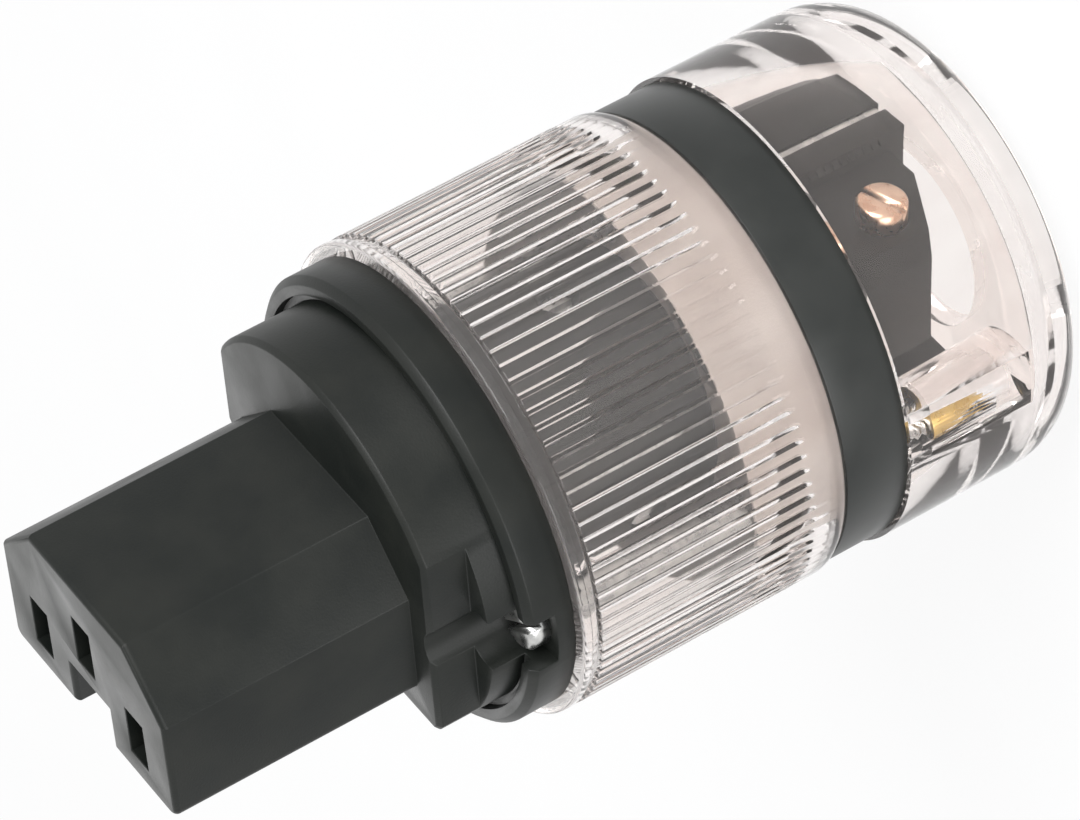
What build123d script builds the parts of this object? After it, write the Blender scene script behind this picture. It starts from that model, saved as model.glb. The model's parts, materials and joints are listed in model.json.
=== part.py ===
from build123d import *
import os

# A rewireable mains connector with a rectangular three-pole nose and a round clear shell.
# All sizes are in millimetres. The connector stands on its rear end, where the cord enters,
# at z = 0, with its nose pointing up (+Z). The earth pole lies on the +Y side.

# Clear shell: rear cap, black band and ribbed ring
SHELL_WALL = 2.3
END_WALL = 2.5
SHOULDER_R = 5.6       # rounded rear shoulder
INNER_BEVEL = 3.0      # bevelled inner corner of the cap
CAP_L = 18.5
BAND_W = 5.8
BAND_RECESS = 0.4      # how far the band lies below the shell's surface
BAND_T = 0.85
RING_L = 24.9
RING_EDGE = 0.9        # bevelled edge next to the band
RING_WALL = 2.5        # end wall of the ring, which carries the cord clamp
RING_HOLE_R = 8.0
CORD_HOLE_R = 8.75

# Ribs on the ring: straight grooves leave them standing
RIB_COUNT = 96
RIB_LAND = 3.2         # smooth ring between the band and the ribs
GROOVE_W = 0.65
GROOVE_D = 0.45
RIM_GROOVE_W = 0.8     # the ribs end at this groove in front
RIM_GROOVE_D = 0.6
RIM_COLLAR = 0.9       # plain collar between that groove and the front rim

# Black front moulding: flange, step and nose
FLANGE_INSET = 1.05    # the flange stands back from the ring's outside
FLANGE_T = 4.0
FLANGE_EDGE = 0.6
LIP_GROOVE_W = 0.7
LIP_GROOVE_D = 0.8
SPIGOT_L = 1.2
SPIGOT_T = 1.6
STEP_INSET = 2.2       # the step stands back from the flange
STEP_T = 6.0
STEP_FRONT_T = 3.8     # front part of the step, with flat sides and a flat below
STEP_FRONT_CUT = 2.6   # depth of each flat side
STEP_EDGE = 0.4
STEP_LOW_CUT = 7.3     # depth of the flat below
NOSE_W = 23.8
NOSE_H = 15.4
NOSE_L = 21.8
NOSE_LOW = -6.9        # the nose's flat side away from the earth pole
NOSE_CHAMFER = 5.0
NOSE_CORNER_R = 1.0
NOSE_EDGE_R = 0.5
NOTCH_W = 5.5
NOTCH_D = 4.4
FRONT_WALL = 2.6

# Poles: slots, contact chambers and the places of the terminal blocks
SLOT_W = 2.5
SLOT_H = 5.0
POLE_PITCH = 14.0      # line to neutral
LIVE_Y = -2.0
EARTH_Y = 2.0
CHAMBER_W = 4.6
CHAMBER_H = 6.0
LIVE_BLOCK_X = 6.1
EARTH_BLOCK_Y = 7.0

# Contacts
LEAF_T = 0.8
LEAF_GAP = 2.1
LEAF_H = 4.6
LEAF_L = 15.0
LEAF_RELIEF = 1.5      # between the leaf tips and the front wall
POST_W = 3.0
POST_H = 3.4
JOG_T = 2.0
BLOCK_R = 6.2          # along the terminal screw
BLOCK_T = 5.2
BLOCK_L = 13.0
BLOCK_TAPPED_WALL = 1.8
BLOCK_FAR_WALL = 1.2
BLOCK_WEB = 2.0
WINDOW_W = 3.6

# Terminal screw and clamp plate
TERMINAL_SCREW_R = 1.45
TERMINAL_SCREW_L = 3.2
TERMINAL_SCREW_UP = 4.5    # height above the block's rear face
TIP_R = 0.75
TIP_L = 0.7
PLATE_T = 1.0
PLATE_L = 7.0
SLOT_CUT_W = 0.6
SLOT_CUT_D = 0.7

# Terminal barrel behind the flange
BARREL_R = 11.7
BARREL_Y = 0.9          # the barrel's axis lies this far towards the earth pole
BARREL_L = 19.0
BARREL_FLOOR = 2.0
BARREL_EDGE = 0.5
WIRE_HOLE_R = 1.8
WIRE_FUNNEL_R = 2.5
WIRE_FUNNEL_D = 1.2
BARREL_SCREW_X = 6.7
BARREL_SCREW_Y = 5.6
BARREL_SCREW_R = 1.1
BARREL_SCREW_GRIP = 5.0    # depth in the front moulding
BARREL_HEAD_R = 2.0
BARREL_HEAD_H = 1.5
CROSS_L = 2.4              # arms of the cross recess

# Long assembly screws through both shells
SCREW_GAP = 3.0            # between the barrel and each screw
SCREW_ROOM = 0.35          # between each screw and the shells' bore
SCREW_PAST = 0.7           # end of the screw beyond its insert
SCREW_R = 1.5
HEAD_R = 2.2
HEAD_H = 1.8
POCKET_R = 2.6
POCKET_FLOOR = 1.6         # flange left under the screw head
INSERT_R = 2.3
INSERT_L = 6.0
BOSS_R = 3.1
BOSS_DROP = 3.0            # from the band's rear edge down to the boss
BOSS_FOOT = 5.9
HEAD_EDGE = 0.35
HEAD_SLOT_W = 0.8
HEAD_SLOT_D = 1.1
HEAD_SLOT_TURN = 35.0      # degrees
CLAMP_SLOT_TURN = 20.0     # degrees

# Cord clamp behind the ring's end wall
CLAMP_ROOM = 2.65          # between the clamp and the cap's bore
CLAMP_SIDE_GAP = 1.5       # between its flat sides and the bosses
CLAMP_GAP = 2.6            # between the two halves as drawn, with no cord in them
CHANNEL_R = 5.7
GRIP_R = 5.3               # inside of the grip ribs
GRIP_T = 0.8
GRIP_COUNT = 3
BASE_END_Z = 8.2
JAW_END_Z = 6.0
BAR_END_Z = 4.4
BAR_TOP_Y = 13.6
BAR_X = -7.4               # outer side of the wide bar
BAR_W = 5.4
BAR_SLOT_W = 0.8
BAR_SLOT_D = 1.4
NARROW_BAR_W = 2.5
SEAT_Y = 11.6              # flat under each screw's head, from the middle
BEVEL_X = 4.5              # the jaw's rear end slopes from here to its side
BEVEL_RISE = 4.0
CLAMP_SCREW_X = 7.0
CLAMP_SCREW_Z = 11.4
CLAMP_SCREW_R = 1.2
CLAMP_HEAD_R = 2.1
CLAMP_HEAD_H = 2.0
SADDLE_SCREW_X = 8.5       # two screws from the ring's end wall into the fixed half
SADDLE_SCREW_Y = -8.0
SADDLE_SCREW_GRIP = 4.0
CLAMP_TIP = 7.6            # how far each clamp screw reaches past the middle
NUT_Y = 5.0                # inner face of the nut, from the middle
NUT_T = 2.0
NUT_W = 5.0

# Clearances
PLAY = 0.1                 # between pieces that are fitted together
RUN = 0.06                 # round a turning shank
SLIDE = 0.15               # beside a sliding piece

# Heights of the main joints, from the rear end up
Z_BAND = CAP_L
Z_WALL = Z_BAND + RING_WALL
Z_RING = Z_BAND + BAND_W
Z_FLANGE = Z_RING + RING_L
Z_STEP = Z_FLANGE + FLANGE_T
Z_NOSE = Z_STEP + STEP_T
Z_TIP = Z_NOSE + NOSE_L
Z_BARREL = Z_FLANGE - BARREL_L
Z_BLOCK = Z_BARREL + BARREL_FLOOR + PLAY
Z_BLOCK_TOP = Z_BLOCK + BLOCK_L
Z_HEAD_SEAT = Z_FLANGE + POCKET_FLOOR
Z_CHAMBER = Z_TIP - FRONT_WALL
SCREW_X = BARREL_R + SCREW_GAP + SCREW_R
BORE_R = SCREW_X + SCREW_R + SCREW_ROOM
SHELL_R = BORE_R + SHELL_WALL      # outside of cap and ring
FLANGE_R = SHELL_R - FLANGE_INSET
STEP_R = FLANGE_R - STEP_INSET
STEP_FRONT_X = STEP_R - STEP_FRONT_CUT
STEP_FRONT_LOW = STEP_LOW_CUT - STEP_R
BOSS_TOP = Z_BAND - BOSS_DROP
SCREW_END = BOSS_TOP - INSERT_L - SCREW_PAST
CLAMP_R = BORE_R - CLAMP_ROOM
CLAMP_X = SCREW_X - BOSS_R - CLAMP_SIDE_GAP    # flat sides of both halves
RIB_L = RING_L - RIM_COLLAR - RIM_GROOVE_W - RIB_LAND
BAND_R = SHELL_R - BAND_RECESS
NECK_R = BAND_R - BAND_T - PLAY
WINDOW_D = BLOCK_R - BLOCK_TAPPED_WALL - BLOCK_FAR_WALL
OVER = 1.0                 # how far a cutting tool runs past the face it cuts

# name: (slot x, slot y, block x, block y, direction in degrees from which its screw goes in)
POLES = {
    "line": (-POLE_PITCH / 2, LIVE_Y, -LIVE_BLOCK_X, LIVE_Y, 180),
    "neutral": (POLE_PITCH / 2, LIVE_Y, LIVE_BLOCK_X, LIVE_Y, 0),
    "earth": (0, EARTH_Y, 0, EARTH_BLOCK_Y, 90),
}
SIDES = {"left": -1, "right": 1}


def rod(radius, z0, z1, x=0.0, y=0.0):
    """Upright cylinder between two heights."""
    return Pos(x, y, z0) * extrude(Circle(radius), z1 - z0)


def block(x0, x1, y0, y1, z0, z1):
    """Box between its low and high corners."""
    return Pos((x0 + x1) / 2, (y0 + y1) / 2, (z0 + z1) / 2) * Box(x1 - x0, y1 - y0, z1 - z0)


def crosswise(radius, y0, y1, x, z):
    """Cylinder along Y."""
    return Pos(x, y0, z) * Rot(-90, 0, 0) * extrude(Circle(radius), y1 - y0)


def turned(points):
    """Solid of revolution about Z, from (radius, height) points joined by straight lines."""
    return revolve(Plane.XZ * make_face(Polyline(*points, close=True)), Axis.Z)


def at_pole(pole, shape):
    """Turns a shape drawn with its screw along +X to a pole's block."""
    _, _, x, y, angle = POLES[pole]
    return Pos(x, y, 0) * Rot(0, 0, angle) * shape


def lowest_edges(shape):
    return shape.edges().group_by(Axis.Z)[0]


def highest_edges(shape):
    return shape.edges().group_by(Axis.Z)[-1]


def widest_circle(shape, z):
    circles = shape.edges().filter_by(GeomType.CIRCLE).filter_by_position(Axis.Z, z, z)
    return circles.sort_by(SortBy.RADIUS)[-1]


def nose_outline():
    x = NOSE_W / 2
    top = NOSE_LOW + NOSE_H
    outline = Polygon(
        (-x, NOSE_LOW),
        (x, NOSE_LOW),
        (x, top - NOSE_CHAMFER),
        (x - NOSE_CHAMFER, top),
        (NOSE_CHAMFER - x, top),
        (-x, top - NOSE_CHAMFER),
        align=None,
    )
    return fillet(outline.vertices().group_by(Axis.Y)[0], NOSE_CORNER_R)


def make_nose():
    nose = Pos(0, 0, Z_NOSE) * extrude(nose_outline(), NOSE_L)
    nose -= block(
        -NOTCH_W / 2, NOTCH_W / 2, NOSE_LOW - OVER, NOSE_LOW + NOTCH_D, Z_NOSE, Z_TIP + OVER
    )
    return fillet(highest_edges(nose), NOSE_EDGE_R)


def make_flange():
    lip_r = STEP_R + LIP_GROOVE_W
    flange = turned([
        (0, Z_FLANGE),
        (BORE_R - PLAY - SPIGOT_T, Z_FLANGE),
        (BORE_R - PLAY - SPIGOT_T, Z_FLANGE - SPIGOT_L),
        (BORE_R - PLAY, Z_FLANGE - SPIGOT_L),
        (BORE_R - PLAY, Z_FLANGE),
        (FLANGE_R, Z_FLANGE),
        (FLANGE_R, Z_STEP),
        (lip_r, Z_STEP),
        (lip_r, Z_STEP - LIP_GROOVE_D),
        (STEP_R, Z_STEP - LIP_GROOVE_D),
        (STEP_R, Z_NOSE - STEP_FRONT_T),
        (0, Z_NOSE - STEP_FRONT_T),
    ])
    flange = chamfer(widest_circle(flange, Z_STEP), FLANGE_EDGE)
    front = rod(STEP_R, Z_NOSE - STEP_FRONT_T, Z_NOSE)
    front &= block(
        -STEP_FRONT_X, STEP_FRONT_X, STEP_FRONT_LOW, STEP_R, Z_NOSE - STEP_FRONT_T, Z_NOSE
    )
    front = chamfer(highest_edges(front), STEP_EDGE)
    return flange + front


def screw_pocket(side):
    x = side * SCREW_X
    edge = side * (FLANGE_R + OVER)
    pocket = rod(POCKET_R, Z_HEAD_SEAT, Z_NOSE + OVER, x)
    pocket += block(min(x, edge), max(x, edge), -POCKET_R, POCKET_R, Z_HEAD_SEAT, Z_NOSE + OVER)
    return pocket + rod(SCREW_R + PLAY, Z_FLANGE - SPIGOT_L - OVER, Z_HEAD_SEAT + OVER, x)


def make_nose_body():
    body = make_flange() + make_nose()
    for slot_x, slot_y, _, _, _ in POLES.values():
        body -= Pos(slot_x, slot_y, Z_CHAMBER - OVER) * extrude(
            Rectangle(SLOT_W, SLOT_H), FRONT_WALL + 2 * OVER
        )
        body -= Pos(slot_x, slot_y, Z_FLANGE - OVER) * extrude(
            Rectangle(CHAMBER_W, CHAMBER_H), Z_CHAMBER - Z_FLANGE + OVER
        )
    for side in SIDES.values():
        body -= screw_pocket(side)
        body -= rod(
            BARREL_SCREW_R + PLAY / 2,
            Z_FLANGE - OVER,
            Z_FLANGE + BARREL_SCREW_GRIP + PLAY,
            side * BARREL_SCREW_X,
            BARREL_SCREW_Y,
        )
    return body


def block_pocket(pole):
    """Space for a terminal block and its jog, with room to slide the contact in from the front."""
    _, slot_y, _, block_y, _ = POLES[pole]
    pocket = at_pole(
        pole,
        Pos(0, 0, Z_BLOCK - PLAY)
        * extrude(Rectangle(BLOCK_R + 2 * PLAY, BLOCK_T + 2 * PLAY), Z_FLANGE - Z_BLOCK + 2 * OVER),
    )
    low = min(slot_y, block_y) - POST_H / 2 - PLAY
    high = max(slot_y, block_y) + POST_H / 2 + PLAY
    slot_x = POLES[pole][0]
    half = POST_W / 2 + PLAY
    return pocket + block(slot_x - half, slot_x + half, low, high, Z_BLOCK_TOP - PLAY, Z_FLANGE + OVER)


def make_terminal_barrel():
    barrel = rod(BARREL_R, Z_BARREL, Z_FLANGE, 0, BARREL_Y)
    barrel = chamfer(lowest_edges(barrel), BARREL_EDGE)
    z_screw = Z_BLOCK + TERMINAL_SCREW_UP
    for pole, (_, _, x, y, _) in POLES.items():
        barrel -= block_pocket(pole)
        barrel -= at_pole(
            pole,
            Pos(0, 0, z_screw)
            * Rot(0, 90, 0)
            * extrude(Circle(TERMINAL_SCREW_R + 2 * PLAY), BARREL_R),
        )
        barrel -= rod(WIRE_HOLE_R, Z_BARREL - OVER, Z_BLOCK, x, y)
        funnel = Cone(WIRE_FUNNEL_R, WIRE_HOLE_R, WIRE_FUNNEL_D)
        barrel -= Pos(x, y, Z_BARREL + WIRE_FUNNEL_D / 2) * funnel
    for side in SIDES.values():
        x = side * BARREL_SCREW_X
        barrel -= rod(BARREL_SCREW_R + PLAY, Z_BARREL - OVER, Z_FLANGE + OVER, x, BARREL_SCREW_Y)
        barrel -= rod(
            BARREL_HEAD_R + PLAY, Z_BARREL - OVER, Z_BARREL + BARREL_HEAD_H + PLAY, x, BARREL_SCREW_Y
        )
    return barrel


def make_barrel_screw(side):
    seat = Z_BARREL + BARREL_HEAD_H + PLAY
    x = side * BARREL_SCREW_X
    screw = rod(BARREL_HEAD_R, seat - BARREL_HEAD_H, seat, x, BARREL_SCREW_Y)
    screw += rod(BARREL_SCREW_R, seat, Z_FLANGE + BARREL_SCREW_GRIP, x, BARREL_SCREW_Y)
    cross = Rectangle(CROSS_L, SLOT_CUT_W) + Rectangle(SLOT_CUT_W, CROSS_L)
    return screw - Pos(x, BARREL_SCREW_Y, seat - BARREL_HEAD_H) * extrude(cross, SLOT_CUT_D)


def make_contact(pole):
    """Female contact: two spring leaves, a post, and a terminal block with a wire window."""
    slot_x, slot_y, _, block_y, _ = POLES[pole]
    tip = Z_CHAMBER - LEAF_RELIEF
    root = tip - LEAF_L
    outer = LEAF_GAP / 2 + LEAF_T
    leaves = Pos(slot_x, slot_y, root) * extrude(Rectangle(2 * outer, LEAF_H), LEAF_L)
    leaves -= Pos(slot_x, slot_y, root + LEAF_T) * extrude(Rectangle(LEAF_GAP, LEAF_H + OVER), LEAF_L)
    inner_mouth = leaves.faces().group_by(Axis.Z)[-1].edges().filter_by(Axis.Y)
    near = [edge for edge in inner_mouth if abs(edge.center().X - slot_x) < LEAF_GAP / 2 + LEAF_T / 2]
    leaves = chamfer(near, LEAF_T / 2)
    post = Pos(slot_x, slot_y, Z_BLOCK_TOP) * extrude(Rectangle(POST_W, POST_H), root - Z_BLOCK_TOP)
    low = min(slot_y, block_y) - POST_H / 2
    high = max(slot_y, block_y) + POST_H / 2
    jog = block(
        slot_x - POST_W / 2, slot_x + POST_W / 2, low, high, Z_BLOCK_TOP, Z_BLOCK_TOP + JOG_T
    )
    window_far = BLOCK_FAR_WALL - BLOCK_R / 2
    terminal = Pos(0, 0, Z_BLOCK) * extrude(Rectangle(BLOCK_R, BLOCK_T), BLOCK_L)
    terminal -= block(
        window_far,
        window_far + WINDOW_D,
        -WINDOW_W / 2,
        WINDOW_W / 2,
        Z_BLOCK - OVER,
        Z_BLOCK_TOP - BLOCK_WEB,
    )
    terminal -= (
        Pos(window_far + WINDOW_D / 2, 0, Z_BLOCK + TERMINAL_SCREW_UP)
        * Rot(0, 90, 0)
        * extrude(Circle(TERMINAL_SCREW_R + RUN), BLOCK_R)
    )
    return leaves + post + jog + at_pole(pole, terminal)


def make_clamp_plate(pole):
    """Pressure plate, drawn backed off against the tapped wall."""
    face = BLOCK_R / 2 - BLOCK_TAPPED_WALL - RUN
    plate = block(
        face - PLATE_T,
        face,
        -WINDOW_W / 2 + PLAY,
        WINDOW_W / 2 - PLAY,
        Z_BLOCK + PLAY,
        Z_BLOCK + PLAY + PLATE_L,
    )
    plate -= (
        Pos(face - PLATE_T - OVER, 0, Z_BLOCK + TERMINAL_SCREW_UP)
        * Rot(0, 90, 0)
        * extrude(Circle(TIP_R + RUN), PLATE_T + 2 * OVER)
    )
    return at_pole(pole, plate)


def make_terminal_screw(pole):
    """Slotted set screw, with a turned tip that carries the plate."""
    face = BLOCK_R / 2 - BLOCK_TAPPED_WALL - RUN
    screw = extrude(Circle(TERMINAL_SCREW_R), TERMINAL_SCREW_L)
    screw += Pos(0, 0, -TIP_L) * extrude(Circle(TIP_R), TIP_L)
    screw -= Pos(0, 0, TERMINAL_SCREW_L - SLOT_CUT_D) * extrude(
        Rectangle(2 * (TERMINAL_SCREW_R + OVER), SLOT_CUT_W), SLOT_CUT_D + OVER
    )
    return at_pole(pole, Pos(face, 0, Z_BLOCK + TERMINAL_SCREW_UP) * Rot(0, 90, 0) * screw)


def make_front_shell():
    """Clear ring with axial ribs, an end wall, and a neck that the band sits on."""
    groove_front = Z_FLANGE - RIM_COLLAR
    rib_front = groove_front - RIM_GROOVE_W
    shell = turned([
        (RING_HOLE_R, Z_WALL),
        (RING_HOLE_R, Z_BAND),
        (NECK_R, Z_BAND),
        (NECK_R, Z_RING),
        (SHELL_R - RING_EDGE, Z_RING),
        (SHELL_R, Z_RING + RING_EDGE),
        (SHELL_R, rib_front),
        (SHELL_R - RIM_GROOVE_D, rib_front),
        (SHELL_R - RIM_GROOVE_D, groove_front),
        (SHELL_R, groove_front),
        (SHELL_R, Z_FLANGE),
        (BORE_R, Z_FLANGE),
        (BORE_R, Z_WALL),
    ])
    for side in SIDES.values():
        shell -= rod(SCREW_R + 2 * PLAY, Z_BAND - OVER, Z_WALL + OVER, side * SCREW_X)
        shell -= rod(
            BARREL_SCREW_R + PLAY, Z_BAND - OVER, Z_WALL + OVER, side * SADDLE_SCREW_X, SADDLE_SCREW_Y
        )
    grooves = Sketch() + PolarLocations(SHELL_R, RIB_COUNT) * Rectangle(2 * GROOVE_D, GROOVE_W)
    return shell - Pos(0, 0, rib_front - RIB_L) * extrude(grooves, RIB_L)


def make_band():
    bore_r = NECK_R + PLAY
    return turned([(bore_r, Z_BAND), (BAND_R, Z_BAND), (BAND_R, Z_RING), (bore_r, Z_RING)])


def make_rear_cap():
    """Clear cap with a rounded shoulder, a cord hole and two screw bosses."""
    cap = fillet(widest_circle(rod(SHELL_R, 0, Z_BAND), 0), SHOULDER_R)
    hollow = chamfer(lowest_edges(rod(BORE_R, END_WALL, Z_BAND)), INNER_BEVEL)
    cap = cap - hollow - rod(CORD_HOLE_R, -OVER, END_WALL + OVER)
    for side in SIDES.values():
        cap += rod(BOSS_R, BOSS_FOOT, BOSS_TOP, side * SCREW_X)
    for side in SIDES.values():
        x = side * SCREW_X
        cap -= rod(INSERT_R + PLAY / 2, BOSS_TOP - INSERT_L, BOSS_TOP + OVER, x)
        cap -= rod(SCREW_R + PLAY, SCREW_END - OVER, BOSS_TOP, x)
    return cap


def make_insert(side):
    """Threaded insert, pressed into a boss of the cap."""
    x = side * SCREW_X
    foot = BOSS_TOP - INSERT_L
    return rod(INSERT_R, foot, BOSS_TOP, x) - rod(SCREW_R + PLAY / 2, foot - OVER, BOSS_TOP + OVER, x)


def make_assembly_screw(side):
    """Long slotted cheese-head screw from the flange to the rear cap."""
    x = side * SCREW_X
    head = rod(HEAD_R, Z_HEAD_SEAT, Z_HEAD_SEAT + HEAD_H, x)
    head = chamfer(highest_edges(head), HEAD_EDGE)
    head -= Pos(x, 0, Z_HEAD_SEAT + HEAD_H - HEAD_SLOT_D) * Rot(0, 0, HEAD_SLOT_TURN) * extrude(
        Rectangle(2 * (HEAD_R + OVER), HEAD_SLOT_W), HEAD_SLOT_D + OVER
    )
    return head + rod(SCREW_R, SCREW_END, Z_HEAD_SEAT, x)


def clamp_half(side, z0, z1):
    """Half on the +Y or -Y side: a round back between flat sides, cut back by half the clamp gap."""
    near = side * CLAMP_GAP / 2
    far = side * (CLAMP_R + OVER)
    return rod(CLAMP_R, z0, z1) & block(-CLAMP_X, CLAMP_X, min(near, far), max(near, far), z0, z1)


def cord_channel(z0, z1):
    """Round channel for the cord; its grip ribs stay standing."""
    channel = rod(GRIP_R, z0 - OVER, z1 + OVER)
    pitch = (z1 - z0) / GRIP_COUNT
    channel += rod(CHANNEL_R, z0 - OVER, z0 + (pitch - GRIP_T) / 2)
    for i in range(GRIP_COUNT - 1):
        rib_top = z0 + pitch * (i + 0.5) + GRIP_T / 2
        channel += rod(CHANNEL_R, rib_top, rib_top + pitch - GRIP_T)
    return channel + rod(CHANNEL_R, z1 - (pitch - GRIP_T) / 2, z1 + OVER)


def nut_slot(side, y_side):
    """Slot from the outside that a square nut slides into."""
    inner = side * (CLAMP_SCREW_X - NUT_W / 2 - PLAY)
    outer = side * (CLAMP_X + OVER)
    near = y_side * (NUT_Y - PLAY)
    far = y_side * (NUT_Y + NUT_T + PLAY)
    half = NUT_W / 2 + PLAY
    return block(
        min(inner, outer), max(inner, outer), min(near, far), max(near, far),
        CLAMP_SCREW_Z - half, CLAMP_SCREW_Z + half,
    )


def make_clamp_base():
    """Fixed half of the cord clamp, screwed against the ring's end wall."""
    saddle = clamp_half(-1, BASE_END_Z, Z_BAND) - cord_channel(BASE_END_Z, Z_BAND)
    hole_r = CLAMP_SCREW_R + RUN
    for side in SIDES.values():
        saddle -= rod(
            BARREL_SCREW_R + PLAY / 2,
            Z_BAND - SADDLE_SCREW_GRIP - PLAY,
            Z_BAND + OVER,
            side * SADDLE_SCREW_X,
            SADDLE_SCREW_Y,
        )
        saddle -= crosswise(hole_r, -CLAMP_R - OVER, 0, side * CLAMP_SCREW_X, CLAMP_SCREW_Z)
    saddle -= crosswise(
        CLAMP_HEAD_R + 2 * PLAY, -CLAMP_R - OVER, -SEAT_Y, -CLAMP_SCREW_X, CLAMP_SCREW_Z
    )
    return saddle - nut_slot(1, -1)


def make_saddle_screw(side):
    """Screw through the ring's end wall into the fixed half of the clamp."""
    x = side * SADDLE_SCREW_X
    screw = rod(BARREL_HEAD_R, Z_WALL, Z_WALL + BARREL_HEAD_H, x, SADDLE_SCREW_Y)
    screw += rod(BARREL_SCREW_R, Z_BAND - SADDLE_SCREW_GRIP, Z_WALL, x, SADDLE_SCREW_Y)
    cross = Rectangle(CROSS_L, SLOT_CUT_W) + Rectangle(SLOT_CUT_W, CROSS_L)
    cut = Pos(x, SADDLE_SCREW_Y, Z_WALL + BARREL_HEAD_H - SLOT_CUT_D)
    return screw - cut * extrude(cross, SLOT_CUT_D + OVER)


def make_clamp_jaw():
    """Moving half of the cord clamp, with two straight bars beside the screw's seat."""
    front = Z_BAND - SLIDE
    bars_x1 = BAR_X + BAR_W + BAR_SLOT_W + NARROW_BAR_W
    jaw = clamp_half(1, JAW_END_Z, front) + block(BAR_X, bars_x1, GRIP_R, BAR_TOP_Y, BAR_END_Z, front)
    jaw -= block(bars_x1, CLAMP_R, SEAT_Y, CLAMP_R + OVER, JAW_END_Z - OVER, front + OVER)
    jaw &= block(-CLAMP_X, CLAMP_X, 0, BAR_TOP_Y, BAR_END_Z, front)
    slot_x = BAR_X + BAR_W
    jaw -= block(slot_x, slot_x + BAR_SLOT_W, BAR_TOP_Y - BAR_SLOT_D, BAR_TOP_Y + OVER, 0, front + OVER)
    jaw -= cord_channel(JAW_END_Z, front)
    bevel = Plane.XZ * make_face(Polyline(
        (BEVEL_X, JAW_END_Z), (CLAMP_X, JAW_END_Z + BEVEL_RISE), (CLAMP_X, JAW_END_Z), close=True
    ))
    jaw -= extrude(bevel, -CLAMP_R)
    hole_r = CLAMP_SCREW_R + RUN
    jaw -= crosswise(hole_r, 0, BAR_TOP_Y + OVER, CLAMP_SCREW_X, CLAMP_SCREW_Z)
    blind = CLAMP_TIP + CLAMP_GAP - 2 * PLAY
    jaw -= crosswise(hole_r, 0, blind, -CLAMP_SCREW_X, CLAMP_SCREW_Z)
    return jaw - nut_slot(-1, 1)


def make_clamp_screw(side):
    """Slotted screw along Y, drawn pointing down (-Y) from its head's seat on the jaw."""
    screw = extrude(Circle(CLAMP_HEAD_R), CLAMP_HEAD_H)
    screw = chamfer(highest_edges(screw), HEAD_EDGE)
    screw -= Pos(0, 0, CLAMP_HEAD_H - SLOT_CUT_D) * Rot(0, 0, CLAMP_SLOT_TURN) * extrude(
        Rectangle(2 * (CLAMP_HEAD_R + OVER), SLOT_CUT_W), SLOT_CUT_D + OVER
    )
    length = SEAT_Y + CLAMP_TIP
    screw += Pos(0, 0, -length) * extrude(Circle(CLAMP_SCREW_R), length)
    screw = Pos(CLAMP_SCREW_X, SEAT_Y + RUN, CLAMP_SCREW_Z) * Rot(-90, 0, 0) * screw
    return screw if side > 0 else Rot(0, 0, 180) * screw


def make_clamp_nut(side):
    """Square nut: the jaw's screw runs in the nut in the base, and the other way round."""
    nut = extrude(Rectangle(NUT_W, NUT_W), NUT_T) - extrude(Circle(CLAMP_SCREW_R + RUN), NUT_T)
    nut = Pos(CLAMP_SCREW_X, -NUT_Y, CLAMP_SCREW_Z) * Rot(90, 0, 0) * nut
    return nut if side > 0 else Rot(0, 0, 180) * nut


def make_pieces():
    pieces = {
        "nose_body": make_nose_body(),
        "terminal_barrel": make_terminal_barrel(),
        "front_shell": make_front_shell(),
        "band": make_band(),
        "rear_cap": make_rear_cap(),
        "clamp_base": make_clamp_base(),
        "clamp_jaw": make_clamp_jaw(),
        "jaw_screw": make_clamp_screw(1),
        "base_screw": make_clamp_screw(-1),
        "base_nut": make_clamp_nut(1),
        "jaw_nut": make_clamp_nut(-1),
    }
    for pole in POLES:
        pieces[f"{pole}_contact"] = make_contact(pole)
        pieces[f"{pole}_clamp_plate"] = make_clamp_plate(pole)
        pieces[f"{pole}_terminal_screw"] = make_terminal_screw(pole)
    for name, side in SIDES.items():
        pieces[f"{name}_barrel_screw"] = make_barrel_screw(side)
        pieces[f"{name}_assembly_screw"] = make_assembly_screw(side)
        pieces[f"{name}_saddle_screw"] = make_saddle_screw(side)
        pieces[f"{name}_threaded_insert"] = make_insert(side)
    return pieces


def main():
    os.makedirs("parts", exist_ok=True)
    for name, solid in make_pieces().items():
        export_step(solid, f"parts/{name}.step")


main()
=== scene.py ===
import bmesh
import bpy
import json
import math
from contextlib import contextmanager
from mathutils import Matrix, Vector

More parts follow.
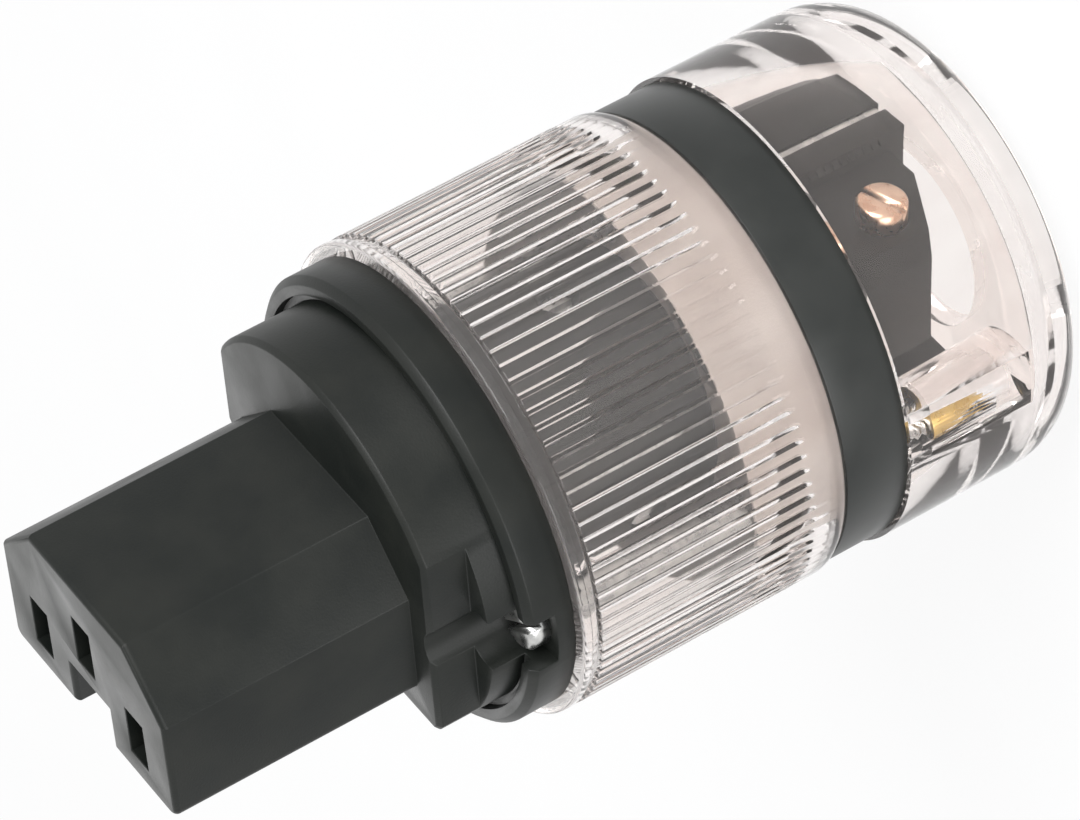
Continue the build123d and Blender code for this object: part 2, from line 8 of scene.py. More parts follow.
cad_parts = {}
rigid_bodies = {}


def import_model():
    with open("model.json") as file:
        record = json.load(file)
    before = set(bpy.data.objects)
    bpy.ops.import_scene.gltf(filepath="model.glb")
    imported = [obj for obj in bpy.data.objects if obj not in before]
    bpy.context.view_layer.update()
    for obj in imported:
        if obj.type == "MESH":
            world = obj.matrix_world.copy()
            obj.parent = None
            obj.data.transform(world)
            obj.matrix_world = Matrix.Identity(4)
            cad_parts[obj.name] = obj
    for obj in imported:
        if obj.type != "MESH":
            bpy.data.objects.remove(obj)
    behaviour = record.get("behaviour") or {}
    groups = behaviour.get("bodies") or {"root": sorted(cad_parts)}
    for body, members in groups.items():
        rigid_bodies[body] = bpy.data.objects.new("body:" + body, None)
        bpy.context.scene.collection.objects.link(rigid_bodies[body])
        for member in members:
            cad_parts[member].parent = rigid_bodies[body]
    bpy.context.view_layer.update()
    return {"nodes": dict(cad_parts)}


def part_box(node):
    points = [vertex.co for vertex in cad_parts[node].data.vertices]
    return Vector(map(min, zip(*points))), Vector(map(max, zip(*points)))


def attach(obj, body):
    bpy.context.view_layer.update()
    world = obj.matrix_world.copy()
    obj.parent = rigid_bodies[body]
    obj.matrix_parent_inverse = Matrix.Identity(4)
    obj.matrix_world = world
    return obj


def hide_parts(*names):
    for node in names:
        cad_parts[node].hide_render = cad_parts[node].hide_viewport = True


# A rewireable mains connector: a black three-pole nose, a clear ribbed ring, a black band
# and a clear rear cap, through which the terminal barrel and the cord clamp are seen.
# Lengths are in metres; MM turns the drawing's millimetres into them.

MM = 0.001
JOIN_WITHIN = 1e-6     # corners closer than this are one corner

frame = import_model()
solids = frame["nodes"]

# Ring, band and end wall
ring_low, ring_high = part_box("front_shell")
band_low, band_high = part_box("band")
SHELL_R = ring_high.x
SHELL_WALL = 2.3 * MM
BORE_R = SHELL_R - SHELL_WALL
RING_FRONT = ring_high.z
RING_REAR = band_high.z
NECK_REAR = ring_low.z
BAND_T = 0.85 * MM
BAND_ROOM = 0.1 * MM
NECK_R = band_high.x - BAND_T - BAND_ROOM
RING_WALL = 2.5 * MM
RING_HOLE_R = 8.0 * MM
SCREW_HOLE_R = 1.7 * MM
SADDLE_HOLE_R = 1.2 * MM

# Edges of the ring
BORE_EDGE_R = 0.4 * MM
WALL_EDGE_R = 0.15 * MM
RING_EDGE_R = 1.1 * MM
GROOVE_EDGE_R = 0.12 * MM
FRONT_EDGE_R = 0.25 * MM

# Ribs
RIB_COUNT = 96
COLUMNS_PER_RIB = 10
GROOVE_SHARE = 0.4
RIB_DEPTH = 0.45 * MM
RIB_L = 20.0 * MM
RIB_END = 0.8 * MM           # the grooves reach their depth over this length
RIB_RUN_OUT = 1.0 * MM       # in front they run on into the rim's groove
RIM_COLLAR = 0.9 * MM
RIM_GROOVE_W = 0.8 * MM
RIM_GROOVE_D = 0.6 * MM

# Insulating cup on the end wall
CUP_COLUMNS = 160
CUP_H = 11.2 * MM
CUP_FLOOR_T = 0.5 * MM
CUP_WALL_T = 0.22 * MM
CUP_ROOM = 0.06 * MM
CUP_BEVEL = 0.3 * MM
CUP_EDGE_R = 0.1 * MM
HEAD_HOLE_R = 2.3 * MM

# Trim of the clamp's moving arm, in the drawing's millimetres
STRIP_LOW, STRIP_HIGH = (-1.95, 12.15, 4.8), (-1.25, 13.45, 18.0)
STRIP_EDGE = 0.12
TOOTH_LOW, TOOTH_HIGH = (1.25, 12.9), (1.75, 13.5)
TOOTH_Z = 6.9
TOOTH_HALF_W = 0.28
TOOTH_PITCH = 0.8
TOOTH_COUNT = 14

# Screws: where the head sits and where the tip ends
SCREW_X = 16.2 * MM
SCREW_SEAT_Z = 50.8 * MM
SCREW_TIP_Z = 8.8 * MM
SADDLE_SCREW_X = 8.5 * MM
SADDLE_SCREW_Y = -8.0 * MM
SADDLE_TIP_Z = 14.5 * MM
CLAMP_SCREW_X = 7.0 * MM
CLAMP_SCREW_Z = 11.4 * MM
CLAMP_SEAT_Y = 11.66 * MM
CLAMP_TIP_Y = 7.54 * MM

# Threads: radius, pitch and plain length below the head
ASSEMBLY_THREAD = (1.5 * MM, 0.7 * MM, 24 * MM)
SADDLE_THREAD = (1.1 * MM, 0.5 * MM, 0.6 * MM)
CLAMP_THREAD = (1.2 * MM, 0.5 * MM, 3 * MM)
THREAD_SHARE = 0.55          # depth, as a share of the pitch
THREAD_COLUMNS = 24
ROWS_PER_TURN = 8
HEAD_STUB = 0.4 * MM         # shank left on the solid's head
SHANK_START = 0.2 * MM       # the threaded shank begins inside that stub


def tone(red, green, blue):
    """Colour written as seen on screen, 0 to 255, as the shader wants it."""

    def straight(value):
        value /= 255
        return value / 12.92 if value <= 0.04045 else ((value + 0.055) / 1.055) ** 2.4

    return (straight(red), straight(green), straight(blue), 1)


def add_object(name, mesh):
    obj = bpy.data.objects.new(name, mesh)
    bpy.context.scene.collection.objects.link(obj)
    return obj


def dress(obj, material):
    obj.data.materials.clear()
    obj.data.materials.append(material)
    for face in obj.data.polygons:
        face.material_index = 0


def smooth(mesh, sharpest):
    """Smooth shading, with edges above that angle left sharp."""
    mesh.shade_smooth()
    mesh.set_sharp_from_angle(angle=math.radians(sharpest))


@contextmanager
def edited(mesh):
    """The mesh opened for bmesh's tools, and written back at the end."""
    bm = bmesh.new()
    bm.from_mesh(mesh)
    yield bm
    bm.to_mesh(mesh)
    bm.free()


def close_up(mesh):
    """Joins doubled corners and turns every face outwards."""
    with edited(mesh) as bm:
        bmesh.ops.remove_doubles(bm, verts=bm.verts, dist=JOIN_WITHIN)
        bmesh.ops.recalc_face_normals(bm, faces=bm.faces)
        if bm.calc_volume(signed=True) < 0:
            bmesh.ops.reverse_faces(bm, faces=bm.faces)


def applied(obj):
    """The object with the mesh that its modifiers give, and the modifiers taken off."""
    bpy.context.view_layer.update()
    shown = obj.evaluated_get(bpy.context.evaluated_depsgraph_get())
    mesh = bpy.data.meshes.new_from_object(shown)
    obj.modifiers.clear()
    obj.data = mesh
    return obj


# Materials


def start_material(name):
    material = bpy.data.materials.new(name)
    material.use_nodes = True
    nodes, links = material.node_tree.nodes, material.node_tree.links
    shader = nodes["Principled BSDF"]
    place = nodes.new("ShaderNodeTexCoord").outputs["Object"]
    return material, nodes, links, shader, place


def speckle(nodes, links, place, per_metre, detail, stretch=(1, 1, 1)):
    """Noise of so many spots to the metre, stretched along an axis where stretch is small."""
    mapping = nodes.new("ShaderNodeMapping")
    mapping.inputs["Scale"].default_value = stretch
    links.new(place, mapping.inputs["Vector"])
    noise = nodes.new("ShaderNodeTexNoise")
    noise.inputs["Scale"].default_value = per_metre
    noise.inputs["Detail"].default_value = detail
    links.new(mapping.outputs["Vector"], noise.inputs["Vector"])
    return noise.outputs["Fac"]


def between(nodes, links, value, low, high):
    """Carries the middle of a noise value's range over to the range low to high."""
    reach = nodes.new("ShaderNodeMapRange")
    reach.inputs["From Min"].default_value = 0.3
    reach.inputs["From Max"].default_value = 0.7
    reach.inputs["To Min"].default_value = low
    reach.inputs["To Max"].default_value = high
    links.new(value, reach.inputs["Value"])
    return reach.outputs["Result"]


def two_tone(nodes, links, value, dark, light):
    ramp = nodes.new("ShaderNodeValToRGB")
    first, last = ramp.color_ramp.elements
    first.position, first.color = 0.35, dark
    last.position, last.color = 0.65, light
    links.new(value, ramp.inputs["Fac"])
    return ramp.outputs["Color"]


def bump(nodes, links, value, shader, height):
    relief = nodes.new("ShaderNodeBump")
    relief.inputs["Strength"].default_value = 1
    relief.inputs["Distance"].default_value = height
    links.new(value, relief.inputs["Height"])
    links.new(relief.outputs["Normal"], shader.inputs["Normal"])


def moulding(name, dark, light, rough=(0.34, 0.46), ior=1.4, grain=0.012 * MM):
    """Satin moulded plastic: faint clouding, fine grain, and a sheen that varies a little."""
    material, nodes, links, shader, place = start_material(name)
    clouds = speckle(nodes, links, place, 180, 4)
    grains = speckle(nodes, links, place, 5200, 2)
    links.new(two_tone(nodes, links, clouds, dark, light), shader.inputs["Base Color"])
    links.new(between(nodes, links, clouds, *rough), shader.inputs["Roughness"])
    bump(nodes, links, grains, shader, grain)
    shader.inputs["IOR"].default_value = ior
    return material


def clear_plastic(name, dark, light, haze, ior):
    """Clear moulding: a little haze and colour of its own, flow lines and fine handling marks."""
    material, nodes, links, shader, place = start_material(name)
    flow = speckle(nodes, links, place, 260, 3, (1, 1, 0.25))
    marks = speckle(nodes, links, place, 2600, 4)
    links.new(two_tone(nodes, links, flow, dark, light), shader.inputs["Base Color"])
    links.new(between(nodes, links, marks, 0.02, 0.06), shader.inputs["Roughness"])
    bump(nodes, links, flow, shader, 0.015 * MM)
    shader.inputs["Transmission Weight"].default_value = 1 - haze
    shader.inputs["IOR"].default_value = ior
    return material


def metal(name, dark, light):
    """Turned or stamped metal: fine lines from the tool and small dull spots."""
    material, nodes, links, shader, place = start_material(name)
    spots = speckle(nodes, links, place, 700, 4)
    turned = speckle(nodes, links, place, 500, 2, (1, 1, 30))
    links.new(two_tone(nodes, links, spots, dark, light), shader.inputs["Base Color"])
    links.new(between(nodes, links, spots, 0.2, 0.38), shader.inputs["Roughness"])
    bump(nodes, links, turned, shader, 0.006 * MM)
    shader.inputs["Metallic"].default_value = 1
    return material


# The clear plastics' IOR is set low, for the look: it keeps a veil off the dark inner parts.
black_moulding = moulding("black_moulding", tone(19, 22, 20), tone(26, 28, 25), ior=1.32)
inner_moulding = moulding(
    "inner_moulding", tone(15, 14, 10), tone(24, 23, 18), rough=(0.4, 0.55), ior=1.25
)
clamp_moulding = moulding("clamp_moulding", tone(12, 12, 9), tone(22, 22, 18), ior=1.25)
pale_moulding = moulding(
    "pale_moulding", tone(186, 177, 171), tone(200, 192, 186), rough=(0.45, 0.6)
)
band_black = moulding(
    "band_black", tone(26, 29, 27), tone(36, 38, 36), rough=(0.3, 0.4), ior=1.45,
    grain=0.004 * MM,
)
clear_shell = clear_plastic(
    "clear_shell", tone(248, 242, 239), tone(254, 250, 248), haze=0.035, ior=1.34
)
clear_cap = clear_plastic(
    "clear_cap", tone(248, 241, 238), tone(254, 249, 246), haze=0.03, ior=1.24
)
steel = metal("steel", tone(176, 177, 176), tone(214, 214, 211))
copper = metal("copper", tone(214, 172, 144), tone(238, 208, 184))
brass = metal("brass", tone(196, 164, 92), tone(224, 194, 124))

FINISHES = {
    "nose_body": black_moulding,
    "terminal_barrel": inner_moulding,
    "front_shell": clear_shell,
    "rear_cap": clear_cap,
    "band": band_black,
    "clamp_base": clamp_moulding,
    "clamp_jaw": clamp_moulding,
    "jaw_screw": copper,
    "base_screw": copper,
    "base_nut": brass,
    "jaw_nut": brass,
}
for name, solid in solids.items():
    if name in FINISHES:
        dress(solid, FINISHES[name])
    elif name.endswith(("contact", "insert")):
        dress(solid, brass)
    else:
        dress(solid, steel)


class Tree:
    """A Geometry Nodes tree with named inputs, built node by node."""

    def __init__(self, name, sizes):
        self.tree = bpy.data.node_groups.new(name, "GeometryNodeTree")
        self.tree.is_modifier = True
        sockets = self.tree.interface
        sockets.new_socket("Geometry", in_out="OUTPUT", socket_type="NodeSocketGeometry")
        sockets.new_socket("Geometry", in_out="INPUT", socket_type="NodeSocketGeometry")
        self.ids = {}
        for label, kind in sizes.items():
            socket = sockets.new_socket(label, in_out="INPUT", socket_type=f"NodeSocket{kind}")
            self.ids[label] = socket.identifier
        self.given = self.tree.nodes.new("NodeGroupInput").outputs

    def wire(self, value, socket):
        """Links an output to the socket, or sets a plain value on it."""
        if isinstance(value, bpy.types.NodeSocket):
            self.tree.links.new(value, socket)
        else:
            socket.default_value = value

    def node(self, kind, settings=None, **wires):
        """A new node; i0, i1 and so on stand for inputs by their number."""
        node = self.tree.nodes.new(kind)
        for key, value in (settings or {}).items():
            setattr(node, key, value)
        for key, value in wires.items():
            numbered = key[0] == "i" and key[1:].isdigit()
            self.wire(value, node.inputs[int(key[1:]) if numbered else key])
        return node

    def math(self, operation, first, second=0.0):
        node = self.node("ShaderNodeMath", {"operation": operation}, i0=first, i1=second)
        return node.outputs[0]

    def step(self, value, start, end, low=0.0, high=1.0, kind="SMOOTHSTEP"):
        """Goes from low to high while the value goes from start to end."""
        node = self.node(
            "ShaderNodeMapRange", {"interpolation_type": kind},
            i0=value, i1=start, i2=end, i3=low, i4=high,
        )
        return node.outputs[0]

    def grid(self):
        """Grid of Columns by Rows, with each point's share of a turn and its row's number."""
        columns, rows = self.given["Columns"], self.given["Rows"]
        grid = self.node(
            "GeometryNodeMeshGrid", i0=columns, i1=rows,
            i2=self.math("ADD", columns, 1.0), i3=self.math("ADD", rows, 1.0),
        )
        place = self.node("GeometryNodeInputPosition").outputs[0]
        flat = self.node("ShaderNodeSeparateXYZ", i0=place).outputs
        column = self.math("ADD", flat[0], self.math("DIVIDE", columns, 2.0))
        row = self.math("ADD", flat[1], self.math("DIVIDE", rows, 2.0))
        turn = self.math("DIVIDE", column, columns)
        return grid.outputs[0], turn, self.math("ROUND", row)

    def finish_turned(self, grid, turn, radius, height):
        """Carries the grid's points round the axis, joins the seams and ends the tree."""
        angle = self.math("MULTIPLY", turn, 2 * math.pi)
        place = self.node(
            "ShaderNodeCombineXYZ",
            i0=self.math("MULTIPLY", radius, self.math("COSINE", angle)),
            i1=self.math("MULTIPLY", radius, self.math("SINE", angle)),
            i2=height,
        )
        moved = self.node(
            "GeometryNodeSetPosition", Geometry=grid, Position=place.outputs[0]
        )
        joined = self.node(
            "GeometryNodeMergeByDistance", Geometry=moved.outputs[0], Distance=JOIN_WITHIN
        )
        self.finish(joined.outputs[0])

    def finish(self, geometry):
        real = self.node("GeometryNodeRealizeInstances", i0=geometry).outputs[0]
        coloured = self.node("GeometryNodeSetMaterial", i0=real)
        self.wire(self.given["Finish"], coloured.inputs["Material"])
        out = self.tree.nodes.new("NodeGroupOutput")
        self.wire(coloured.outputs[0], out.inputs[0])

    def run(self, obj, **values):
        modifier = obj.modifiers.new("build", "NODES")
        modifier.node_group = self.tree
        for label, value in values.items():
            modifier[self.ids[label.replace("_", " ")]] = value
        applied(obj)


# Ribbed ring and insulating cup


def ribbed_tree():
    """Turns a drawn profile round the axis and sinks grooves between its ribs."""
    tree = Tree("ribbed_ring", {
        "Columns": "Int", "Rows": "Int", "Rib count": "Float", "Groove share": "Float",
        "Groove depth": "Float", "Crest radius": "Float", "Rib rear": "Float",
        "Rib front": "Float", "Rib end": "Float", "Finish": "Material",
    })
    g = tree.given
    grid, turn, row = tree.grid()
    row = tree.math("FLOORED_MODULO", row, g["Rows"])
    drawn = tree.node(
        "GeometryNodeSampleIndex", {"data_type": "FLOAT_VECTOR", "domain": "POINT"},
        Geometry=g["Geometry"], Index=row,
        Value=tree.node("GeometryNodeInputPosition").outputs[0],
    )
    drawn = tree.node("ShaderNodeSeparateXYZ", i0=drawn.outputs[0])
    radius, height = drawn.outputs[0], drawn.outputs[2]

    phase = tree.math("FRACT", tree.math("MULTIPLY", turn, g["Rib count"]))
    away = tree.math("MULTIPLY", tree.math("ABSOLUTE", tree.math("SUBTRACT", phase, 0.5)), 2.0)
    floor_share = tree.math("MULTIPLY", g["Groove share"], 0.5)
    groove = tree.step(away, floor_share, g["Groove share"], 1.0, 0.0, "LINEAR")
    rear = tree.step(height, g["Rib rear"], tree.math("ADD", g["Rib rear"], g["Rib end"]))
    front_start = tree.math("SUBTRACT", g["Rib front"], g["Rib end"])
    front = tree.step(height, front_start, g["Rib front"], 1.0, 0.0)
    nearly_crest = tree.math("SUBTRACT", g["Crest radius"], 1e-5)
    outside = tree.math("GREATER_THAN", radius, nearly_crest)
    sunk = tree.math(
        "MULTIPLY", tree.math("MULTIPLY", groove, rear), tree.math("MULTIPLY", front, outside)
    )
    radius = tree.math("SUBTRACT", radius, tree.math("MULTIPLY", sunk, g["Groove depth"]))
    tree.finish_turned(grid, turn, radius, height)
    return tree


def rounded(corner, before, after, radius, steps=4):
    """Points of a round corner between two square sides, in the (radius, height) plane."""
    corner, before, after = Vector(corner), Vector(before), Vector(after)
    toward, away = (before - corner).normalized(), (after - corner).normalized()
    middle = corner + (toward + away) * radius
    points = []
    for i in range(steps + 1):
        angle = math.pi / 2 * i / steps
        points.append(
            middle - away * radius * math.cos(angle) - toward * radius * math.sin(angle)
        )
    return [tuple(point) for point in points]


def drawn_profile(name, corners):
    """Closed profile in the XZ plane; a corner is (radius, height, roundness)."""
    points = []
    count = len(corners)
    for i, (x, z, roundness) in enumerate(corners):
        before, after = corners[i - 1][:2], corners[(i + 1) % count][:2]
        if roundness:
            points += rounded((x, z), before, after, roundness)
        else:
            points.append((x, z))
    mesh = bpy.data.meshes.new(name)
    mesh.from_pydata([(x, 0, z) for x, z in points], [], [])
    return add_object(name, mesh), len(points)


def drill(piece, radius, x, y, z0, z1):
    """Hole along Z through a wall between two heights."""
    mesh = bpy.data.meshes.new("drill")
    with edited(mesh) as bm:
        bmesh.ops.create_cone(
            bm, cap_ends=True, segments=48, radius1=radius, radius2=radius,
            depth=(z1 - z0) * 1.2, matrix=Matrix.Translation((x, y, (z0 + z1) / 2)),
        )
    tool = add_object("drill", mesh)
    cut = piece.modifiers.new("hole", "BOOLEAN")
    cut.operation = "DIFFERENCE"
    cut.solver = "EXACT"
    cut.object = tool
    applied(piece)
    bpy.data.objects.remove(tool)


def turn_profile(piece, rows, columns, material, ribs=0, depth=0.0, rear=0.0, front=0.0):
    """Turns a drawn profile into a closed piece, with grooves between ribs where asked."""
    RIBBED.run(
        piece, Columns=columns, Rows=rows, Rib_count=float(ribs), Groove_share=GROOVE_SHARE,
        Groove_depth=depth, Crest_radius=SHELL_R, Rib_rear=rear,
        Rib_front=front, Rib_end=RIB_END, Finish=material,
    )
    close_up(piece.data)


def make_insulating_cup():
    """Thin cup on the ring's end wall, holed for the cord and the screws."""
    rear = NECK_REAR + RING_WALL
    front = rear + CUP_FLOOR_T
    rim = rear + CUP_H
    outer = BORE_R - CUP_ROOM
    inner = outer - CUP_WALL_T
    cup, rows = drawn_profile("insulating_cup", [
        (RING_HOLE_R, rear, CUP_EDGE_R), (outer - CUP_BEVEL, rear, 0), (outer, front, 0),
        (outer, rim, 0), (inner, rim, 0),
        (inner, front, 0), (RING_HOLE_R, front, CUP_EDGE_R),
    ])
    turn_profile(cup, rows, CUP_COLUMNS, pale_moulding)
    for side in (-1, 1):
        drill(cup, SCREW_HOLE_R, side * SCREW_X, 0, rear, front)
        drill(cup, HEAD_HOLE_R, side * SADDLE_SCREW_X, SADDLE_SCREW_Y, rear, front)
    smooth(cup.data, 35)
    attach(cup, "shell")


def make_clear_ring():
    """The ribbed ring, with its end wall and the neck under the band."""
    wall_front = NECK_REAR + RING_WALL
    collar_rear = RING_FRONT - RIM_COLLAR
    rib_front = collar_rear - RIM_GROOVE_W
    rib_rear = rib_front - RIB_L
    rim_r = SHELL_R - RIM_GROOVE_D
    ring, rows = drawn_profile("clear_ring", [
        (BORE_R, wall_front, BORE_EDGE_R),
        (RING_HOLE_R, wall_front, WALL_EDGE_R),
        (RING_HOLE_R, NECK_REAR, WALL_EDGE_R),
        (NECK_R, NECK_REAR, WALL_EDGE_R),
        (NECK_R, RING_REAR, 0),
        (SHELL_R, RING_REAR, RING_EDGE_R),
        *[(SHELL_R, rib_rear + up * MM, 0) for up in (0, 0.2, 0.5, 0.8, 5)],
        *[(SHELL_R, rib_front - down * MM, 0) for down in (5, 0.5)],
        (SHELL_R, rib_front, GROOVE_EDGE_R),
        (rim_r, rib_front, GROOVE_EDGE_R),
        (rim_r, collar_rear, GROOVE_EDGE_R),
        (SHELL_R, collar_rear, GROOVE_EDGE_R),
        (SHELL_R, RING_FRONT, FRONT_EDGE_R),
        (BORE_R, RING_FRONT, WALL_EDGE_R),
    ])
    turn_profile(
        ring, rows, RIB_COUNT * COLUMNS_PER_RIB, clear_shell,
        RIB_COUNT, RIB_DEPTH, rib_rear, rib_front + RIB_RUN_OUT,
    )
    for side in (-1, 1):
        drill(ring, SCREW_HOLE_R, side * SCREW_X, 0, NECK_REAR, wall_front)
        drill(
            ring, SADDLE_HOLE_R, side * SADDLE_SCREW_X, SADDLE_SCREW_Y, NECK_REAR, wall_front
        )
    smooth(ring.data, 35)
    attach(ring, "shell")
    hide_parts("front_shell")


RIBBED = ribbed_tree()
make_clear_ring()
make_insulating_cup()


# Pieces after the solids


def softened(node, name, edge, body, material):
    """A solid's shape again, with its doubled corners joined and its edges rounded a little."""
    sharpest = 30
    mesh = solids[node].data.copy()
    close_up(mesh)
    obj = add_object(name, mesh)
    if edge:
        with edited(mesh) as bm:
            bmesh.ops.dissolve_limit(
                bm, angle_limit=math.radians(0.4), verts=bm.verts, edges=bm.edges
            )
        bevel = obj.modifiers.new("edges", "BEVEL")
        bevel.width = edge
        bevel.segments = 2
        bevel.limit_method = "ANGLE"
        bevel.angle_limit = math.radians(sharpest)
        bevel.use_clamp_overlap = True
        applied(obj)
    smooth(obj.data, sharpest)
    dress(obj, material)
    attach(obj, body)
    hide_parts(node)


softened("rear_cap", "clear_cap", 0, "shell", clear_cap)
softened("nose_body", "nose_moulding", 0.12 * MM, "shell", black_moulding)
softened("terminal_barrel", "inner_barrel", 0.15 * MM, "shell", inner_moulding)
softened("clamp_base", "clamp_saddle", 0.15 * MM, "shell", clamp_moulding)
softened("clamp_jaw", "clamp_arm", 0.15 * MM, "jaw", clamp_moulding)
softened("band", "band_sleeve", 0.1 * MM, "shell", band_black)


# The clamp arm's spring strip and teeth


def rounded_bar(name, low, high, edge):
    """Straight bar between two corners, in millimetres, with rounded edges."""
    size = [(b - a) * MM for a, b in zip(low, high)]
    middle = [(a + b) / 2 * MM for a, b in zip(low, high)]
    mesh = bpy.data.meshes.new(name)
    with edited(mesh) as bm:
        bmesh.ops.create_cube(bm, size=1)
        bmesh.ops.scale(bm, verts=bm.verts, vec=size)
        bmesh.ops.translate(bm, verts=bm.verts, vec=middle)
        bmesh.ops.bevel(
            bm, geom=bm.edges[:], offset=edge * MM, segments=3, affect="EDGES", profile=0.5
        )
    smooth(mesh, 40)
    return add_object(name, mesh)


def teeth_tree():
    """Row along Z: the drawn wedge is repeated at an even pitch."""
    tree = Tree("row_of_teeth", {"Count": "Int", "Pitch": "Float", "Finish": "Material"})
    g = tree.given
    step = tree.node("ShaderNodeCombineXYZ", i2=g["Pitch"]).outputs[0]
    line = tree.node("GeometryNodeMeshLine", {"mode": "OFFSET"}, Count=g["Count"], Offset=step)
    row = tree.node(
        "GeometryNodeInstanceOnPoints", Points=line.outputs[0], Instance=g["Geometry"]
    )
    tree.finish(row.outputs[0])
    return tree


def make_clamp_trim():
    """Steel strip sprung into the jaw's slot, and the teeth beside the narrow bar."""
    strip = rounded_bar("spring_strip", STRIP_LOW, STRIP_HIGH, STRIP_EDGE)
    dress(strip, steel)
    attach(strip, "jaw")

    (x0, y0), (x1, y1) = TOOTH_LOW, TOOTH_HIGH
    points = [
        (x * MM, y * MM, TOOTH_Z * MM + side * TOOTH_HALF_W * MM)
        for side in (-1, 1) for x, y in ((x0, y0), (x1, y0), (x0, y1))
    ]
    wedge = bpy.data.meshes.new("jaw_teeth")
    wedge.from_pydata(
        points, [], [(0, 2, 1), (3, 4, 5), (0, 1, 4, 3), (1, 2, 5, 4), (2, 0, 3, 5)]
    )
    teeth = add_object("jaw_teeth", wedge)
    teeth_tree().run(teeth, Count=TOOTH_COUNT, Pitch=TOOTH_PITCH * MM, Finish=clamp_moulding)
    close_up(teeth.data)
    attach(teeth, "jaw")


make_clamp_trim()


# Threaded screws


def thread_tree():
    """Closed shank along Z with a smooth start and a thread for the rest of its length."""
    tree = Tree("threaded_shank", {
        "Columns": "Int", "Rows": "Int", "Radius": "Float", "Length": "Float",
        "Plain length": "Float", "Pitch": "Float", "Depth": "Float", "Finish": "Material",
    })
    g = tree.given
    grid, turn, row = tree.grid()
    along = tree.math(
        "DIVIDE", tree.math("SUBTRACT", row, 1.0), tree.math("SUBTRACT", g["Rows"], 2.0)
    )
    along = tree.math("MINIMUM", tree.math("MAXIMUM", along, 0.0), 1.0)
    height = tree.math("MULTIPLY", along, g["Length"])
    turns_up = tree.math("DIVIDE", height, g["Pitch"])
    phase = tree.math("FRACT", tree.math("SUBTRACT", turns_up, turn))
    slope = tree.math("SUBTRACT", tree.math("MULTIPLY", phase, 2.0), 1.0)
    wave = tree.math("SUBTRACT", 1.0, tree.math("ABSOLUTE", slope))
    begun = tree.step(
        height, g["Plain length"], tree.math("ADD", g["Plain length"], g["Pitch"])
    )
    cut = tree.math("MULTIPLY", tree.math("MULTIPLY", wave, begun), g["Depth"])
    # The first and last rows close the ends on the axis.
    inside = tree.math(
        "MULTIPLY", tree.math("GREATER_THAN", row, 0.5),
        tree.math("LESS_THAN", row, tree.math("SUBTRACT", g["Rows"], 0.5)),
    )
    radius = tree.math("MULTIPLY", tree.math("SUBTRACT", g["Radius"], cut), inside)
    tree.finish_turned(grid, turn, radius, height)
    return tree


THREADS = thread_tree()


def threaded_screw(node, body, material, seat, tip, thread):
    """A screw with its solid's head and a threaded shank from under the head to its tip."""
    radius, pitch, plain = thread
    seat, tip = Vector(seat), Vector(tip)
    axis = (tip - seat).normalized()
    start = seat + axis * SHANK_START
    head = solids[node].data.copy()
    with edited(head) as bm:
        bmesh.ops.remove_doubles(bm, verts=bm.verts, dist=JOIN_WITHIN)
        cut = bmesh.ops.bisect_plane(
            bm, geom=bm.verts[:] + bm.edges[:] + bm.faces[:],
            plane_co=seat + axis * HEAD_STUB, plane_no=axis, clear_outer=True,
        )
        rim = [item for item in cut["geom_cut"] if isinstance(item, bmesh.types.BMEdge)]
        bmesh.ops.holes_fill(bm, edges=rim)
    piece = add_object(f"{node}_piece", head)
    close_up(head)

    length = (tip - start).length
    rows = round((length - plain) / pitch * ROWS_PER_TURN) + 2
    shank = add_object("shank", bpy.data.meshes.new("shank"))
    THREADS.run(
        shank, Columns=THREAD_COLUMNS, Rows=rows, Radius=radius, Length=length,
        Plain_length=plain, Pitch=pitch, Depth=pitch * THREAD_SHARE, Finish=material,
    )
    shank.data.transform(
        Matrix.Translation(start) @ axis.to_track_quat("Z", "Y").to_matrix().to_4x4()
    )
    close_up(shank.data)
    with edited(head) as bm:
        bm.from_mesh(shank.data)
    bpy.data.objects.remove(shank)
    smooth(head, 35)
    dress(piece, material)
    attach(piece, body)
    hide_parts(node)


for side, name in ((-1, "left"), (1, "right")):
    x = side * SCREW_X
    threaded_screw(
        f"{name}_assembly_screw", "shell", steel,
        (x, 0, SCREW_SEAT_Z), (x, 0, SCREW_TIP_Z), ASSEMBLY_THREAD,
    )
    x = side * SADDLE_SCREW_X
    threaded_screw(
        f"{name}_saddle_screw", "shell", steel,
        (x, SADDLE_SCREW_Y, NECK_REAR + RING_WALL), (x, SADDLE_SCREW_Y, SADDLE_TIP_Z),
        SADDLE_THREAD,
    )
for side, name in ((1, "jaw"), (-1, "base")):
    x = side * CLAMP_SCREW_X
    threaded_screw(
        f"{name}_screw", f"{name}_clamp_screw", copper,
        (x, side * CLAMP_SEAT_Y, CLAMP_SCREW_Z), (x, -side * CLAMP_TIP_Y, CLAMP_SCREW_Z),
        CLAMP_THREAD,
    )


# Floor, light and camera


def white_where_seen(nodes, links, seen, unseen):
    """White to the eye, in gloss and through clear plastic; its own shade for the light."""
    path = nodes.new("ShaderNodeLightPath")
    total = path.outputs["Is Camera Ray"]
    for name in ("Is Glossy Ray", "Is Transmission Ray"):
        largest = nodes.new("ShaderNodeMath")
        largest.operation = "MAXIMUM"
        links.new(total, largest.inputs[0])
        links.new(path.outputs[name], largest.inputs[1])
        total = largest.outputs[0]
    mix = nodes.new("ShaderNodeMixShader")
    links.new(total, mix.inputs[0])
    links.new(unseen, mix.inputs[1])
    links.new(seen, mix.inputs[2])
    return mix.outputs[0]


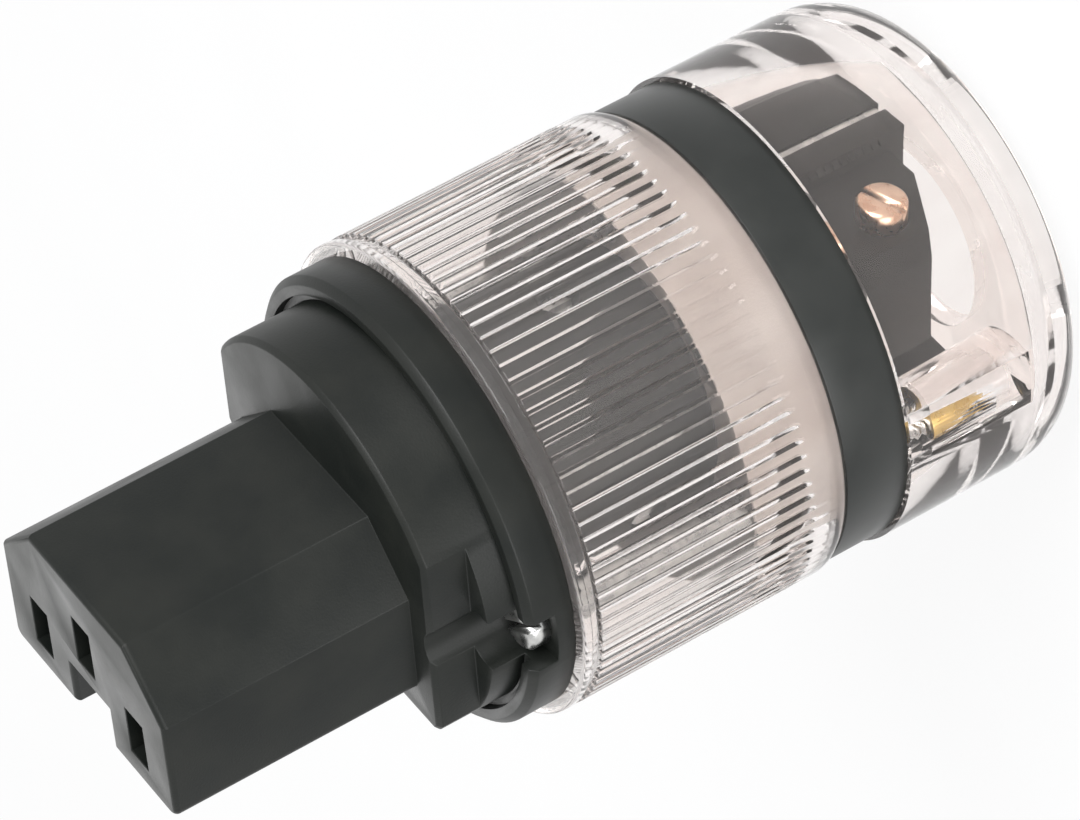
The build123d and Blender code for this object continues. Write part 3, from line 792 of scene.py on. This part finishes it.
def make_world():
    world = bpy.data.worlds.new("studio")
    bpy.context.scene.world = world
    world.use_nodes = True
    nodes, links = world.node_tree.nodes, world.node_tree.links
    soft = nodes["Background"]
    soft.inputs["Color"].default_value = tone(236, 238, 242)
    soft.inputs["Strength"].default_value = 0.55
    white = nodes.new("ShaderNodeBackground")
    white.inputs["Color"].default_value = (1, 1, 1, 1)
    white.inputs["Strength"].default_value = 1
    out = white_where_seen(nodes, links, white.outputs[0], soft.outputs[0])
    links.new(out, nodes["World Output"].inputs["Surface"])


def make_floor():
    """White floor that keeps the object's shadow, and is clear to a camera below it."""
    reach = 6.0
    down = -0.02 * MM    # just clear of the cap's rear face, which lies at zero
    mesh = bpy.data.meshes.new("floor")
    mesh.from_pydata(
        [(-reach, -reach, down), (reach, -reach, down), (reach, reach, down),
         (-reach, reach, down)],
        [], [(0, 1, 2, 3)],
    )
    floor = add_object("floor", mesh)
    material, nodes, links, shader, place = start_material("floor_white")
    paper = speckle(nodes, links, place, 40, 3)
    links.new(two_tone(nodes, links, paper, tone(243, 243, 243), tone(248, 248, 248)),
              shader.inputs["Base Color"])
    shader.inputs["Roughness"].default_value = 0.8
    shader.inputs["Specular IOR Level"].default_value = 0.1
    glow = nodes.new("ShaderNodeEmission")
    glow.inputs["Color"].default_value = (1, 1, 1, 1)
    glow.inputs["Strength"].default_value = 1
    mostly_glow = nodes.new("ShaderNodeMixShader")
    mostly_glow.inputs[0].default_value = 0.88
    links.new(shader.outputs[0], mostly_glow.inputs[1])
    links.new(glow.outputs[0], mostly_glow.inputs[2])
    above = white_where_seen(nodes, links, mostly_glow.outputs[0], shader.outputs[0])
    open_below = nodes.new("ShaderNodeMixShader")
    links.new(nodes.new("ShaderNodeNewGeometry").outputs["Backfacing"], open_below.inputs[0])
    links.new(above, open_below.inputs[1])
    links.new(nodes.new("ShaderNodeBsdfTransparent").outputs[0], open_below.inputs[2])
    links.new(open_below.outputs[0], nodes["Material Output"].inputs["Surface"])
    dress(floor, material)


def make_lamp(name, place, aim, size, watts):
    lamp = bpy.data.lights.new(name, "AREA")
    lamp.shape = "DISK"
    lamp.size = size
    lamp.energy = watts
    obj = add_object(name, lamp)
    obj.location = place
    obj.rotation_euler = (Vector(aim) - Vector(place)).to_track_quat("-Z", "Y").to_euler()


def make_camera():
    """The photograph's camera: a long lens, half a metre away, rolled so the nose points down."""
    pixels_per_mm = 12.832    # in the photograph, at the part's middle
    away = 485.5              # millimetres
    photo_width = 1080        # pixels
    sensor_width = 36         # millimetres
    turn = Vector((-2.077, -0.419, 1.139))
    view = Matrix.Rotation(turn.length, 3, turn.normalized())
    middle = Vector((0, 0, 42 * MM))
    offset = Vector((2.075, -2.354, -away)) * MM
    lens = bpy.data.cameras.new("camera")
    lens.sensor_width = sensor_width
    lens.lens = pixels_per_mm * away / photo_width * sensor_width
    lens.clip_start = 0.01
    camera = add_object("camera", lens)
    axes = Matrix((view[0], -view[1], -view[2])).transposed()
    camera.matrix_world = Matrix.Translation(middle + view.transposed() @ offset) @ axes.to_4x4()
    bpy.context.scene.camera = camera


make_world()
make_floor()
make_lamp("key", (0.1, 0.75, 0.55), (0, 0, 0.04), 0.7, 9)
make_lamp("fill", (0.9, 0.1, 0.3), (0, 0, 0.04), 0.8, 6)
make_lamp("sheen", (-0.55, -0.66, 0.36), (0, 0, 0.08), 0.5, 0.7)
make_camera()
bpy.context.scene.view_settings.view_transform = "Standard"
